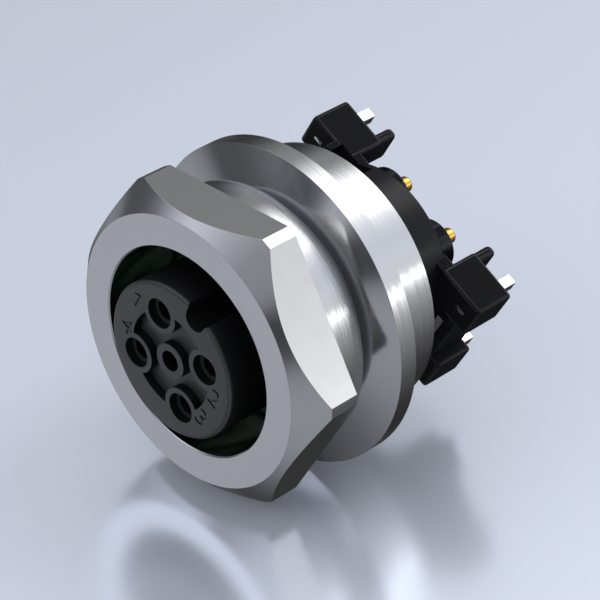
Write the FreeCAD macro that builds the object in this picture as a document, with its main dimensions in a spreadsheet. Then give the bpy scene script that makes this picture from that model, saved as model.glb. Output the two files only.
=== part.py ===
"""Panel-mounted round signal connector, five-way socket with a coupling bore for a 12 mm plug.

The connector's axis lies along Y. Its mating side looks towards -Y and its solder side towards +Y.
The origin is on the axis in the plane where the flange seats on the panel, and +Z stands square to
the top flat of the hexagon. The moulded pieces are clocked about the axis, so that their keyway
stands key_clocking degrees from +Z towards +X. All lengths are in millimetres.
"""
import FreeCAD
import Part
import Sketcher
import math
import os

from FreeCAD import Placement, Rotation, Vector

OUTPUT_FOLDER = "parts"

# Driving dimensions: alias, value, what it measures.
DIMENSIONS = (
    # Metal housing, one turned piece with a milled hexagon.
    ("bore_radius", 5.49, "coupling bore, the minor radius of its thread"),
    ("bore_lead", 0.07, "chamfer at the mouth of the coupling bore"),
    ("ring_face_radius", 7.18, "outer radius of the flat ring on the front"),
    ("hex_across_flats", 15.06, "hexagon across its flats"),
    ("hex_corner_radius", 8.53, "turned radius that trims the corners of the hexagon"),
    ("hex_bevel_length", 1.32, "length along the axis of the front bevel"),
    ("hex_length", 3.0, "length of the hexagon along the axis"),
    ("neck_radius", 7.015, "plain neck behind the hexagon"),
    ("neck_length", 2.25, "neck, from the hexagon to its relief groove"),
    ("neck_end_chamfer", 0.2, "soft end of the neck"),
    ("relief_radius", 6.55, "floor of the relief groove"),
    ("relief_width", 0.75, "relief groove, from the neck to the flange"),
    ("flange_radius", 8.545, "flange that seats on the panel"),
    ("flange_thickness", 1.05, "flange along the axis"),
    ("spigot_radius", 7.06, "spigot that enters the panel cut-out"),
    ("spigot_length", 2.9, "spigot along the axis"),
    ("edge_break", 0.06, "small chamfer on the turned outer edges"),
    ("rear_bore_radius", 5.95, "rear counterbore that takes the insert's collar"),
    ("rear_bore_start", 0.85, "floor of the rear counterbore, in front of the seat plane"),
    # Moulded front insert.
    ("insert_radius", 4.15, "stem of the insert"),
    ("insert_rise", 1.0, "insert face, in front of the ring face"),
    ("insert_edge", 0.24, "chamfer round the insert face"),
    ("insert_clearance", 0.06, "insert and ring, radial clearance in the housing"),
    ("insert_back", 0.55, "back of the insert's collar, behind the seat plane"),
    ("contact_circle", 5.0, "pitch circle of the outer four contacts"),
    ("recess_radius", 2.62, "shallow round recess in the insert face"),
    ("recess_depth", 0.46, "depth of the recess and of the wide part of each hole"),
    ("boss_radius", 1.08, "collar round each outer hole"),
    ("centre_boss_radius", 0.93, "collar round the centre hole"),
    ("wide_hole_radius", 0.79, "wide mouth of each outer hole"),
    ("entry_radius", 0.55, "entry for a mating pin"),
    ("entry_wall", 1.9, "front wall of the insert that the entries pass"),
    ("keyway_centre", 3.67, "round bottom of the keyway, centre from the axis"),
    ("keyway_radius", 0.62, "half the width of the keyway"),
    ("keyway_straight", 0.08, "straight flank of the keyway"),
    ("keyway_flare", 0.42, "rounded mouth of the keyway"),
    ("keyway_length", 4.9, "keyway along the axis"),
    ("key_clocking", 30.0, "keyway, degrees from +Z towards +X"),
    # Seal in the gap and ring behind the insert.
    ("seal_length", 1.3, "sealing ring along the axis"),
    ("seal_lip", 0.38, "chamfer on the two front edges of the sealing ring"),
    ("seal_squeeze", 0.02, "sealing ring, radial gap to stem and bore"),
    ("seal_back", 1.55, "shoulder behind the seal, in front of the seat plane"),
    ("lock_ring_length", 1.4, "ring that holds the insert's collar"),
    ("lock_slot_width", 0.9, "spanner slot of the ring"),
    ("lock_slot_depth", 0.5, "spanner slot, depth along the axis"),
    # Turned contacts.
    ("contact_radius", 0.84, "socket barrel"),
    ("socket_radius", 0.5, "hole for a mating pin"),
    ("socket_depth", 5.2, "depth of that hole"),
    ("contact_setback", 0.15, "barrel, behind the insert's front wall"),
    ("contact_clearance", 0.05, "radial clearance round barrel and shank"),
    ("shank_radius", 0.6, "shank of a contact, inside the rear carrier"),
    ("tail_radius", 0.42, "solder tail"),
    ("tail_end", 9.2, "end of the solder tails, behind the seat plane"),
    ("tail_chamfer", 0.14, "chamfered end of a tail"),
    # Moulded rear carrier.
    ("drum_radius", 4.75, "round body of the carrier"),
    ("drum_end", 6.4, "rear face of the round body"),
    ("drum_edge", 0.12, "chamfered rear edge of the round body"),
    ("tail_boss_radius", 1.4, "boss round each outer tail"),
    ("centre_tail_boss_radius", 1.05, "boss round the centre tail"),
    ("tail_boss_end", 7.95, "rear end of the bosses"),
    ("arm_inner", 2.0, "inner end of an arm, across the key direction"),
    ("arm_outer", 3.72, "outer end of an arm"),
    ("arm_end", 7.25, "rear face of an arm"),
    ("arm_drop", 0.72, "top of an arm, below the box faces furthest from the centre line"),
    ("lip_width", 0.62, "high lip of an arm, across the key direction"),
    ("lip_length", 0.9, "high lip of an arm, along the axis"),
    ("box_inner", 3.68, "inner face of a corner box, across the key direction"),
    ("box_outer", 6.7, "outer face of a corner box"),
    ("box_low", 1.5, "corner box, face nearest the centre line"),
    ("box_high", 3.42, "corner box, face furthest from the centre line"),
    ("box_front", 5.7, "front face of a corner box"),
    ("box_rear", 8.19, "rear face of a corner box"),
    ("box_round", 0.26, "rounded outer edges of a corner box"),
    ("rib_thickness", 0.52, "locating rib on a corner box"),
    ("rib_end", 9.3, "end of the locating ribs, which enter slots in the circuit board"),
    ("rib_round", 0.25, "rounded end corners of a locating rib"),
    ("web_inner", 5.31, "inner face of the web between two boxes, across the key direction"),
    ("web_thickness", 0.64, "web between two boxes"),
    ("shelf_drop", 0.53, "shelf under an upper box, below the box"),
    ("finger_inner", 4.62, "finger in front of the upper left box, across the key direction"),
    ("finger_width", 0.35, "finger, across the key direction"),
    ("finger_height", 0.55, "finger, along the key direction"),
    ("finger_length", 0.6, "finger, in front of its box"),
    ("notch_height", 0.5, "notch beside the finger, along the key direction"),
    ("notch_depth", 0.3, "notch beside the finger, along the axis"),
    # Hold-down pins.
    ("pin_across", 5.7, "hold-down pin from the centre, across the key direction"),
    ("pin_along", 2.53, "hold-down pin from the centre, along the key direction"),
    ("pin_width", 0.66, "pin across the key direction"),
    ("pin_thickness", 0.64, "pin along the key direction"),
    ("pin_clearance", 0.02, "clearance round a pin in its box"),
    ("pin_end", 9.5, "end of the hold-down pins"),
    ("pin_chamfer", 0.06, "chamfer at the end of a pin"),
    ("tongue_width", 0.56, "flat tongue at the front of a pin"),
    ("tongue_thickness", 0.17, "flat tongue, thickness"),
    ("tongue_length", 0.6, "tongue along the axis"),
    ("tongue_rise", 0.04, "tongue, in front of its box"),
)


class Size:
    """A length that carries its number and the spreadsheet expression that gives it."""

    def __init__(self, text, value):
        self.text = text
        self.value = value

    def _join(self, symbol, other, value):
        other_text = other.text if isinstance(other, Size) else repr(other)
        return Size("(%s %s %s)" % (self.text, symbol, other_text), value)

    def __add__(self, other):
        return self._join("+", other, self.value + number(other))

    def __sub__(self, other):
        return self._join("-", other, self.value - number(other))

    def __mul__(self, other):
        return self._join("*", other, self.value * number(other))

    def __truediv__(self, other):
        return self._join("/", other, self.value / number(other))

    def __neg__(self):
        return Size("(0 - %s)" % self.text, -self.value)


def number(size):
    """The plain number of a Size or of a number."""
    return size.value if isinstance(size, Size) else size


class Sizes:
    """The driving dimensions, each one an attribute that returns a Size."""

    def __init__(self, sheet):
        for row, (alias, value, note) in enumerate(DIMENSIONS, start=1):
            sheet.set("A%d" % row, alias)
            sheet.set("B%d" % row, repr(value))
            sheet.set("C%d" % row, note)
            sheet.setAlias("B%d" % row, alias)
            setattr(self, alias, Size("%s.%s" % (sheet.Label, alias), value))


doc = FreeCAD.newDocument("connector")
dims_sheet = doc.addObject("Spreadsheet::Sheet", "Dims")
dims = Sizes(dims_sheet)
doc.recompute()

ZERO = dims.hex_length - dims.hex_length
NODES = []

# Planes along the axis that several pieces share.
flange_front = -dims.flange_thickness
hex_rear = flange_front - dims.relief_width - dims.neck_length
ring_face = hex_rear - dims.hex_length
insert_face = ring_face - dims.insert_rise
entry_end = insert_face + dims.entry_wall
rear_bore_floor = -dims.rear_bore_start
seal_shoulder = -dims.seal_back
contact_offset = dims.contact_circle / 2 / math.sqrt(2)
OUTER_PLACES = ((-1, 1), (1, 1), (1, -1), (-1, -1))


def bind(thing, path, size):
    """Ties a property or a sketch constraint to its expression."""
    thing.setExpression(path, size.text if isinstance(size, Size) else repr(size))


def new_body(label):
    """A body that becomes one node."""
    body = doc.addObject("PartDesign::Body", label)
    body.Label = label
    NODES.append(body)
    return body


def clock(thing):
    """Turns a moulded piece, or what sits in it, to the keyway's direction."""
    thing.Placement = Placement(Vector(0, 0, 0), Rotation(Vector(0, 1, 0), dims.key_clocking.value))


def new_sketch(body, name, role, station=None):
    """A sketch on one of the body's own planes, at a station along the axis."""
    sketch = body.newObject("Sketcher::SketchObject", name)
    plane = next(item for item in body.Origin.OriginFeatures if item.Role == role)
    sketch.AttachmentSupport = [(plane, "")]
    sketch.MapMode = "FlatFace"
    if station is not None:
        # The normal of the XZ plane points to -Y.
        bind(sketch, "AttachmentOffset.Base.z", -station)
    return sketch


def hold(sketch, kind, item, point, size):
    """Fixes one coordinate of a point, measured from the sketch's origin."""
    index = sketch.addConstraint(Sketcher.Constraint(kind, -1, 1, item, point, number(size)))
    bind(sketch, "Constraints[%d]" % index, size)


def hold_radius(sketch, item, size):
    """Fixes the radius of a circle or an arc."""
    index = sketch.addConstraint(Sketcher.Constraint("Radius", item, number(size)))
    bind(sketch, "Constraints[%d]" % index, size)


def add_polygon(sketch, corners):
    """A closed outline through corners given as pairs of Sizes."""
    first = sketch.GeometryCount
    count = len(corners)
    points = [Vector(number(x), number(y), 0) for x, y in corners]
    for index in range(count):
        sketch.addGeometry(Part.LineSegment(points[index], points[(index + 1) % count]))
    for index in range(count):
        following = first + (index + 1) % count
        sketch.addConstraint(Sketcher.Constraint("Coincident", first + index, 2, following, 1))
    for index, (x, y) in enumerate(corners):
        hold(sketch, "DistanceX", first + index, 1, x)
        hold(sketch, "DistanceY", first + index, 1, y)


def add_circle(sketch, x, y, radius):
    """A circle with its centre and radius tied to their sizes."""
    centre = Vector(number(x), number(y), 0)
    item = sketch.addGeometry(Part.Circle(centre, Vector(0, 0, 1), number(radius)))
    hold(sketch, "DistanceX", item, 3, x)
    hold(sketch, "DistanceY", item, 3, y)
    hold_radius(sketch, item, radius)
    return item


def add_outer_circles(sketch, radius):
    """The same circle at each of the four outer contacts."""
    for side, level in OUTER_PLACES:
        add_circle(sketch, contact_offset * side, contact_offset * level, radius)


def add_rectangle(sketch, low_x, high_x, low_y, high_y):
    """A rectangle between two pairs of Sizes."""
    add_polygon(sketch, [(low_x, low_y), (high_x, low_y), (high_x, high_y), (low_x, high_y)])


def add_corner_rectangles(sketch, low_x, high_x, low_y, high_y):
    """A rectangle and its mirror images in all four quadrants."""
    for side, level in OUTER_PLACES:
        across = sorted((low_x * side, high_x * side), key=number)
        along = sorted((low_y * level, high_y * level), key=number)
        add_rectangle(sketch, across[0], across[1], along[0], along[1])


def add_extrusion(body, kind, name, sketch, length, towards_rear):
    """A pad or pocket of a sketch; towards_rear says which way it runs along the axis."""
    feature = body.newObject("PartDesign::%s" % kind, name)
    feature.Profile = sketch
    bind(feature, "Length", length)
    forwards_by_default = kind == "Pad"
    feature.Reversed = towards_rear if forwards_by_default else not towards_rear
    sketch.Visibility = False
    return feature


def add_revolution(body, name, corners):
    """A full turn about the axis of an outline given as radius and station."""
    sketch = new_sketch(body, name + "_profile", "XY_Plane")
    add_polygon(sketch, corners)
    feature = body.newObject("PartDesign::Revolution", name)
    feature.Profile = sketch
    feature.ReferenceAxis = (sketch, ["V_Axis"])
    feature.Angle = 360
    return feature


def edge_names(shape, wanted):
    """Names of the edges that a test picks out."""
    return ["Edge%d" % index for index, edge in enumerate(shape.Edges, start=1) if wanted(edge)]


def add_fillet(body, name, base, wanted, radius):
    """Rounds the picked edges of the feature before it."""
    doc.recompute()
    feature = body.newObject("PartDesign::Fillet", name)
    feature.Base = (base, edge_names(base.Shape, wanted))
    bind(feature, "Radius", radius)
    return feature


def add_chamfer(body, name, base, wanted, size):
    """Bevels the picked edges of the feature before it."""
    doc.recompute()
    feature = body.newObject("PartDesign::Chamfer", name)
    feature.Base = (base, edge_names(base.Shape, wanted))
    bind(feature, "Size", size)
    return feature


def circle_at(radius, station):
    """A test for the round edge of a given radius at a station along the axis."""
    def wanted(edge):
        curve = edge.Curve
        if not isinstance(curve, Part.Circle):
            return False
        same_radius = abs(curve.Radius - number(radius)) < 1e-4
        return same_radius and abs(curve.Center.y - number(station)) < 1e-4
    return wanted


def build_housing():
    """Hexagon, neck, flange and spigot, turned from one bar."""
    body = new_body("housing")
    break_ = dims.edge_break
    neck_end = hex_rear + dims.neck_length
    turned = add_revolution(body, "turned_form", [
        (dims.bore_radius + dims.bore_lead, ring_face),
        (dims.ring_face_radius, ring_face),
        (dims.hex_corner_radius, ring_face + dims.hex_bevel_length),
        (dims.hex_corner_radius, hex_rear),
        (dims.neck_radius, hex_rear),
        (dims.neck_radius, neck_end - dims.neck_end_chamfer),
        (dims.neck_radius - dims.neck_end_chamfer, neck_end),
        (dims.relief_radius, neck_end),
        (dims.relief_radius, flange_front),
        (dims.flange_radius - break_, flange_front),
        (dims.flange_radius, flange_front + break_),
        (dims.flange_radius, -break_),
        (dims.flange_radius - break_, ZERO),
        (dims.spigot_radius, ZERO),
        (dims.spigot_radius, dims.spigot_length - break_),
        (dims.spigot_radius - break_, dims.spigot_length),
        (dims.rear_bore_radius, dims.spigot_length),
        (dims.rear_bore_radius, rear_bore_floor),
        (dims.bore_radius, rear_bore_floor),
        (dims.bore_radius, ring_face + dims.bore_lead),
    ])
    doc.recompute()
    turned_volume = turned.Shape.Volume
    sketch = new_sketch(body, "hexagon", "XZ_Plane", ring_face)
    half_flat = dims.hex_across_flats / 2
    corner = dims.hex_across_flats / math.sqrt(3)
    add_circle(sketch, ZERO, ZERO, dims.hex_corner_radius + 1)
    add_polygon(sketch, [
        (corner, ZERO),
        (corner / 2, half_flat),
        (-corner / 2, half_flat),
        (-corner, ZERO),
        (-corner / 2, -half_flat),
        (corner / 2, -half_flat),
    ])
    milled = add_extrusion(body, "Pocket", "milled_flats", sketch, dims.hex_length, True)
    doc.recompute()
    if milled.Shape.Volume >= turned_volume - 1:
        raise RuntimeError("the hexagon's flats cut nothing")
    return body


def add_keyway(body):
    """Round-bottomed keyway with a rounded mouth, along the stem of the insert."""
    sketch = new_sketch(body, "keyway_outline", "XZ_Plane", insert_face)
    half = dims.keyway_radius
    mouth = half + dims.keyway_flare
    centre = dims.keyway_centre
    shoulder = centre + dims.keyway_straight
    lip = shoulder + dims.keyway_flare
    top = dims.insert_radius + 1
    normal = Vector(0, 0, 1)

    def arc(x, y, radius, start, end):
        circle = Part.Circle(Vector(number(x), number(y), 0), normal, number(radius))
        item = sketch.addGeometry(Part.ArcOfCircle(circle, math.radians(start), math.radians(end)))
        hold(sketch, "DistanceX", item, 3, x)
        hold(sketch, "DistanceY", item, 3, y)
        hold_radius(sketch, item, radius)
        return item

    def line(start_x, start_y, end_x, end_y):
        start = Vector(number(start_x), number(start_y), 0)
        end = Vector(number(end_x), number(end_y), 0)
        return sketch.addGeometry(Part.LineSegment(start, end))

    def join(item, point, other, other_point):
        sketch.addConstraint(Sketcher.Constraint("Coincident", item, point, other, other_point))

    bottom = arc(ZERO, centre, half, 180, 360)
    right_flank = line(half, centre, half, shoulder)
    right_flare = arc(mouth, shoulder, dims.keyway_flare, 90, 180)
    right_side = line(mouth, lip, mouth, top)
    lid = line(mouth, top, -mouth, top)
    left_side = line(-mouth, top, -mouth, lip)
    left_flare = arc(-mouth, shoulder, dims.keyway_flare, 0, 90)
    left_flank = line(-half, shoulder, -half, centre)
    join(bottom, 2, right_flank, 1)
    join(right_flank, 2, right_flare, 2)
    join(right_flare, 1, right_side, 1)
    join(right_side, 2, lid, 1)
    join(lid, 2, left_side, 1)
    join(left_side, 2, left_flare, 2)
    join(left_flare, 1, left_flank, 1)
    join(left_flank, 2, bottom, 1)
    hold(sketch, "DistanceY", bottom, 1, centre)
    hold(sketch, "DistanceY", bottom, 2, centre)
    hold(sketch, "DistanceY", right_flare, 2, shoulder)
    hold(sketch, "DistanceX", right_flare, 1, mouth)
    hold(sketch, "DistanceY", left_flare, 1, shoulder)
    hold(sketch, "DistanceX", left_flare, 2, -mouth)
    hold(sketch, "DistanceX", lid, 1, mouth)
    hold(sketch, "DistanceY", lid, 1, top)
    hold(sketch, "DistanceX", lid, 2, -mouth)
    hold(sketch, "DistanceY", lid, 2, top)
    return add_extrusion(body, "Pocket", "keyway", sketch, dims.keyway_length, True)


def build_insert():
    """Front insert: stem with keyway, recessed face, five entries and cavities for the contacts."""
    body = new_body("insert")
    pilot = dims.bore_radius - dims.insert_clearance
    collar = dims.rear_bore_radius - dims.insert_clearance
    add_revolution(body, "stem", [
        (ZERO, insert_face),
        (dims.insert_radius - dims.insert_edge, insert_face),
        (dims.insert_radius, insert_face + dims.insert_edge),
        (dims.insert_radius, seal_shoulder),
        (pilot, seal_shoulder),
        (pilot, rear_bore_floor),
        (collar, rear_bore_floor),
        (collar, dims.insert_back),
        (ZERO, dims.insert_back),
    ])

    recess = new_sketch(body, "recess_outline", "XZ_Plane", insert_face)
    add_circle(recess, ZERO, ZERO, dims.recess_radius)
    add_extrusion(body, "Pocket", "recess", recess, dims.recess_depth, True)

    bosses = new_sketch(body, "boss_outlines", "XZ_Plane", insert_face)
    add_outer_circles(bosses, dims.boss_radius)
    add_circle(bosses, ZERO, ZERO, dims.centre_boss_radius)
    add_extrusion(body, "Pad", "bosses", bosses, dims.recess_depth, True)

    mouths = new_sketch(body, "wide_mouth_outlines", "XZ_Plane", insert_face)
    add_outer_circles(mouths, dims.wide_hole_radius)
    add_extrusion(body, "Pocket", "wide_mouths", mouths, dims.recess_depth, True)

    entries = new_sketch(body, "entry_outlines", "XZ_Plane", insert_face)
    add_outer_circles(entries, dims.entry_radius)
    add_circle(entries, ZERO, ZERO, dims.entry_radius)
    add_extrusion(body, "Pocket", "entries", entries, dims.entry_wall, True)

    barrel_room = dims.contact_radius + dims.contact_clearance
    cavities = new_sketch(body, "cavity_outlines", "XZ_Plane", dims.insert_back)
    add_outer_circles(cavities, barrel_room)
    add_circle(cavities, ZERO, ZERO, barrel_room)
    add_extrusion(body, "Pocket", "cavities", cavities, dims.insert_back - entry_end, False)

    add_keyway(body)
    clock(body)
    return body


def build_contact(label, side, level):
    """Turned socket contact: barrel, shank in the rear carrier, and solder tail."""
    body = new_body(label)
    front = entry_end + dims.contact_setback
    socket_floor = front + dims.socket_depth
    add_revolution(body, "contact_form", [
        (dims.socket_radius, front),
        (dims.contact_radius, front),
        (dims.contact_radius, dims.insert_back),
        (dims.shank_radius, dims.insert_back),
        (dims.shank_radius, dims.tail_boss_end),
        (dims.tail_radius, dims.tail_boss_end),
        (dims.tail_radius, dims.tail_end - dims.tail_chamfer),
        (dims.tail_radius - dims.tail_chamfer, dims.tail_end),
        (ZERO, dims.tail_end),
        (ZERO, socket_floor),
        (dims.socket_radius, socket_floor),
    ])
    turn = Rotation(Vector(0, 1, 0), dims.key_clocking.value)
    place = turn.multVec(Vector(contact_offset.value * side, 0, contact_offset.value * level))
    body.Placement = Placement(place, turn)
    return body


def build_seal():
    """Moulded sealing ring in the gap between the insert's stem and the coupling bore."""
    body = new_body("gap_seal")
    inner = dims.insert_radius + dims.seal_squeeze
    outer = dims.bore_radius - dims.seal_squeeze
    front = seal_shoulder - dims.seal_length
    lip = dims.seal_lip
    add_revolution(body, "ring_form", [
        (inner + lip, front),
        (outer - lip, front),
        (outer, front + lip),
        (outer, seal_shoulder),
        (inner, seal_shoulder),
        (inner, front + lip),
    ])
    return body


def build_lock_ring():
    """Slotted ring in the rear counterbore, behind the insert's collar."""
    body = new_body("lock_ring")
    outer = dims.rear_bore_radius - dims.insert_clearance
    inner = dims.drum_radius + dims.insert_clearance
    rear = dims.insert_back + dims.lock_ring_length
    add_revolution(body, "ring_form", [
        (inner, dims.insert_back),
        (outer, dims.insert_back),
        (outer, rear),
        (inner, rear),
    ])
    slots = new_sketch(body, "spanner_slot_outlines", "XZ_Plane", rear)
    half_slot = dims.lock_slot_width / 2
    reach = dims.rear_bore_radius + 1
    add_rectangle(slots, -reach, reach, -half_slot, half_slot)
    add_extrusion(body, "Pocket", "spanner_slots", slots, dims.lock_slot_depth, False)
    return body


def build_rear_carrier():
    """Rear moulding: drum, bosses round the tails, and four boxes with locating ribs."""
    body = new_body("rear_carrier")
    front = dims.insert_back
    drum = new_sketch(body, "drum_outline", "XZ_Plane", front)
    add_circle(drum, ZERO, ZERO, dims.drum_radius)
    drum_pad = add_extrusion(body, "Pad", "drum", drum, dims.drum_end - front, True)
    at_rear = circle_at(dims.drum_radius, dims.drum_end)
    add_chamfer(body, "chamfered_drum", drum_pad, at_rear, dims.drum_edge)

    bosses = new_sketch(body, "tail_boss_outlines", "XZ_Plane", dims.box_front)
    add_outer_circles(bosses, dims.tail_boss_radius)
    add_circle(bosses, ZERO, ZERO, dims.centre_tail_boss_radius)
    boss_length = dims.tail_boss_end - dims.box_front
    add_extrusion(body, "Pad", "tail_bosses", bosses, boss_length, True)

    arms = new_sketch(body, "arm_outlines", "XZ_Plane", dims.box_front)
    arm_top = dims.box_high - dims.arm_drop
    add_corner_rectangles(arms, dims.arm_inner, dims.arm_outer, dims.box_low, arm_top)
    add_extrusion(body, "Pad", "arms", arms, dims.arm_end - dims.box_front, True)

    lips = new_sketch(body, "lip_outlines", "XZ_Plane", dims.box_front)
    lip_inner = dims.box_inner - dims.lip_width
    add_corner_rectangles(lips, lip_inner, dims.arm_outer, dims.box_low, dims.box_high)
    add_extrusion(body, "Pad", "lips", lips, dims.lip_length, True)

    boxes = new_sketch(body, "box_outlines", "XZ_Plane", dims.box_front)
    add_corner_rectangles(boxes, dims.box_inner, dims.box_outer, dims.box_low, dims.box_high)
    boxes_pad = add_extrusion(body, "Pad", "boxes", boxes, dims.box_rear - dims.box_front, True)

    def outer_box_edge(edge):
        """The edges along the axis at the outer end of a box."""
        ends = [vertex.Point for vertex in edge.Vertexes]
        at_outer_end = [abs(abs(point.x) - dims.box_outer.value) < 1e-4 for point in ends]
        along_axis = len(ends) == 2 and abs(ends[0].y - ends[1].y) > dims.box_round.value
        return all(at_outer_end) and along_axis

    add_fillet(body, "rounded_boxes", boxes_pad, outer_box_edge, dims.box_round)
    doc.recompute()

    webs = new_sketch(body, "web_outlines", "XZ_Plane", dims.box_front)
    web_outer = dims.web_inner + dims.web_thickness
    web_reach = dims.box_low + dims.pin_clearance
    add_rectangle(webs, dims.web_inner, web_outer, -web_reach, web_reach)
    add_rectangle(webs, -web_outer, -dims.web_inner, -web_reach, web_reach)
    add_extrusion(body, "Pad", "webs", webs, dims.box_rear - dims.box_front, True)

    shelves = new_sketch(body, "shelf_outlines", "XZ_Plane", dims.box_front)
    shelf_low = dims.box_low - dims.shelf_drop
    shelf_outer = web_outer - dims.web_thickness / 2
    add_rectangle(shelves, dims.box_inner, shelf_outer, shelf_low, web_reach)
    add_rectangle(shelves, -shelf_outer, -dims.box_inner, shelf_low, web_reach)
    add_extrusion(body, "Pad", "shelves", shelves, dims.arm_end - dims.box_front, True)

    notch = new_sketch(body, "notch_outline", "XZ_Plane", dims.box_front)
    notch_low = dims.box_high - dims.notch_height
    beyond = dims.box_high + dims.box_round
    add_rectangle(notch, -dims.finger_inner, -dims.arm_inner, notch_low, beyond)
    add_extrusion(body, "Pocket", "notch", notch, dims.notch_depth, True)

    finger = new_sketch(body, "finger_outline", "XZ_Plane", dims.box_front - dims.finger_length)
    finger_outer = dims.finger_inner + dims.finger_width
    finger_low = dims.box_high - dims.finger_height
    add_rectangle(finger, -finger_outer, -dims.finger_inner, finger_low, dims.box_high)
    add_extrusion(body, "Pad", "finger", finger, dims.finger_length + dims.notch_depth, True)

    ribs = new_sketch(body, "rib_outlines", "XZ_Plane", dims.box_front + dims.box_round)
    rib_outer = dims.box_inner + dims.rib_thickness
    add_corner_rectangles(ribs, dims.box_inner, rib_outer, dims.box_low, dims.box_high)
    rib_length = dims.rib_end - dims.box_front - dims.box_round
    ribs_pad = add_extrusion(body, "Pad", "ribs", ribs, rib_length, True)

    def rib_corner(edge):
        """Short edges across the free end of a rib."""
        ends = [vertex.Point for vertex in edge.Vertexes]
        at_end = all(abs(point.y - dims.rib_end.value) < 1e-4 for point in ends)
        across = len(ends) == 2 and abs(ends[0].z - ends[1].z) < 1e-4
        return at_end and across

    add_fillet(body, "rounded_ribs", ribs_pad, rib_corner, dims.rib_round)

    tail_room = dims.shank_radius + dims.contact_clearance
    holes = new_sketch(body, "tail_hole_outlines", "XZ_Plane", front)
    add_outer_circles(holes, tail_room)
    add_circle(holes, ZERO, ZERO, tail_room)
    add_extrusion(body, "Pocket", "tail_holes", holes, dims.tail_boss_end - front, True)

    wide = dims.pin_width / 2 + dims.pin_clearance
    tall = dims.pin_thickness / 2 + dims.pin_clearance
    across, along = dims.pin_across, dims.pin_along
    slots = new_sketch(body, "pin_slot_outlines", "XZ_Plane", dims.box_rear)
    add_corner_rectangles(slots, across - wide, across + wide, along - tall, along + tall)
    pin_shoulder = dims.box_front + dims.tongue_length - dims.tongue_rise
    add_extrusion(body, "Pocket", "pin_slots", slots, dims.box_rear - pin_shoulder, False)

    wide = dims.tongue_width / 2 + dims.pin_clearance
    tall = dims.tongue_thickness / 2 + dims.pin_clearance
    tongues = new_sketch(body, "tongue_slot_outlines", "XZ_Plane", dims.box_front)
    add_corner_rectangles(tongues, across - wide, across + wide, along - tall, along + tall)
    tongue_room = pin_shoulder - dims.box_front
    add_extrusion(body, "Pocket", "tongue_slots", tongues, tongue_room, True)
    clock(body)
    return body


def build_hold_down_pin(label, side, level):
    """Square solder pin with a flat tongue that shows at the front of its box."""
    body = new_body(label)
    front = dims.box_front - dims.tongue_rise
    shoulder = front + dims.tongue_length
    across = dims.pin_across * side
    along = dims.pin_along * level

    def centred(name, station, width, thickness):
        sketch = new_sketch(body, name, "XZ_Plane", station)
        half_wide, half_tall = width / 2, thickness / 2
        add_rectangle(sketch, across - half_wide, across + half_wide, along - half_tall, along + half_tall)
        return sketch

    shank = centred("shank_outline", shoulder, dims.pin_width, dims.pin_thickness)
    shank_pad = add_extrusion(body, "Pad", "shank", shank, dims.pin_end - shoulder, True)

    def at_tip(edge):
        return all(abs(vertex.Point.y - dims.pin_end.value) < 1e-4 for vertex in edge.Vertexes)

    add_chamfer(body, "tip_chamfer", shank_pad, at_tip, dims.pin_chamfer)
    tongue = centred("tongue_outline", front, dims.tongue_width, dims.tongue_thickness)
    add_extrusion(body, "Pad", "tongue", tongue, dims.tongue_length, True)
    clock(body)
    return body


def check_document():
    """Stops on any failed object or broken shape before a file is written."""
    doc.recompute()
    for thing in doc.Objects:
        if "Invalid" in thing.State or "Error" in thing.State:
            raise RuntimeError("%s: %s" % (thing.Name, thing.State))
    for node in NODES:
        shape = node.Shape
        if shape.isNull() or not shape.isValid():
            raise RuntimeError("%s has no valid shape" % node.Label)
        if len(shape.Solids) != 1:
            raise RuntimeError("%s has %d solids" % (node.Label, len(shape.Solids)))


def write_parts():
    """Writes each node's shape to its own file."""
    os.makedirs(OUTPUT_FOLDER, exist_ok=True)
    for node in NODES:
        node.Shape.exportStep(os.path.join(OUTPUT_FOLDER, node.Label + ".step"))
        box = node.Shape.BoundBox
        print("%-18s %8.2f mm3  x %.2f..%.2f  y %.2f..%.2f  z %.2f..%.2f" % (
            node.Label, node.Shape.Volume, box.XMin, box.XMax, box.YMin, box.YMax, box.ZMin, box.ZMax))


build_housing()
build_insert()
build_seal()
build_lock_ring()
for position, (side, level) in enumerate(OUTER_PLACES, start=1):
    build_contact("contact_%d" % position, side, level)
build_contact("contact_5", 0, 0)
build_rear_carrier()
for corner_name, (side, level) in zip(("upper_left", "upper_right", "lower_right", "lower_left"), OUTER_PLACES):
    build_hold_down_pin("hold_down_pin_" + corner_name, side, level)
check_document()
write_parts()
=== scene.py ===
"""Dressed model of a panel-mounted round M12 connector on a pale studio floor.

Metres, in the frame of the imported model: the connector's axis is Y, its mating side looks towards
-Y, and Z is up. Sizes in the classes are millimetres, angles are degrees. The mouldings are made
with the key direction along Z, and are turned to it once they are whole.
"""
import logging
import math
from dataclasses import dataclass
from enum import Enum, IntEnum
from typing import Iterable, Optional

import bmesh
import bpy
from mathutils import Matrix, Vector


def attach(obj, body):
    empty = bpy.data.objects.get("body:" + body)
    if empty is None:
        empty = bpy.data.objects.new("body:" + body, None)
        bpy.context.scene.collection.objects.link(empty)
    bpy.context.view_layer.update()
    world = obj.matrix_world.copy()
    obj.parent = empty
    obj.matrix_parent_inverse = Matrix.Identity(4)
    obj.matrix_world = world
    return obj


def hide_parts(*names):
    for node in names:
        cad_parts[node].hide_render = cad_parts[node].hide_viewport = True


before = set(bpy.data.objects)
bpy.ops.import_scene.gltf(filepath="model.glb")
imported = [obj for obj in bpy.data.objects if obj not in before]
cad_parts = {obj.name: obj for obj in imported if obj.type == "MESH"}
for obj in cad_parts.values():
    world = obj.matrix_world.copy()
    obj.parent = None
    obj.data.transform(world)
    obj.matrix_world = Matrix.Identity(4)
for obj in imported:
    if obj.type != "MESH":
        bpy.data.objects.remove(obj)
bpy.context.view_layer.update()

Colour = tuple[float, float, float]
Span = tuple[float, float]
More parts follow.
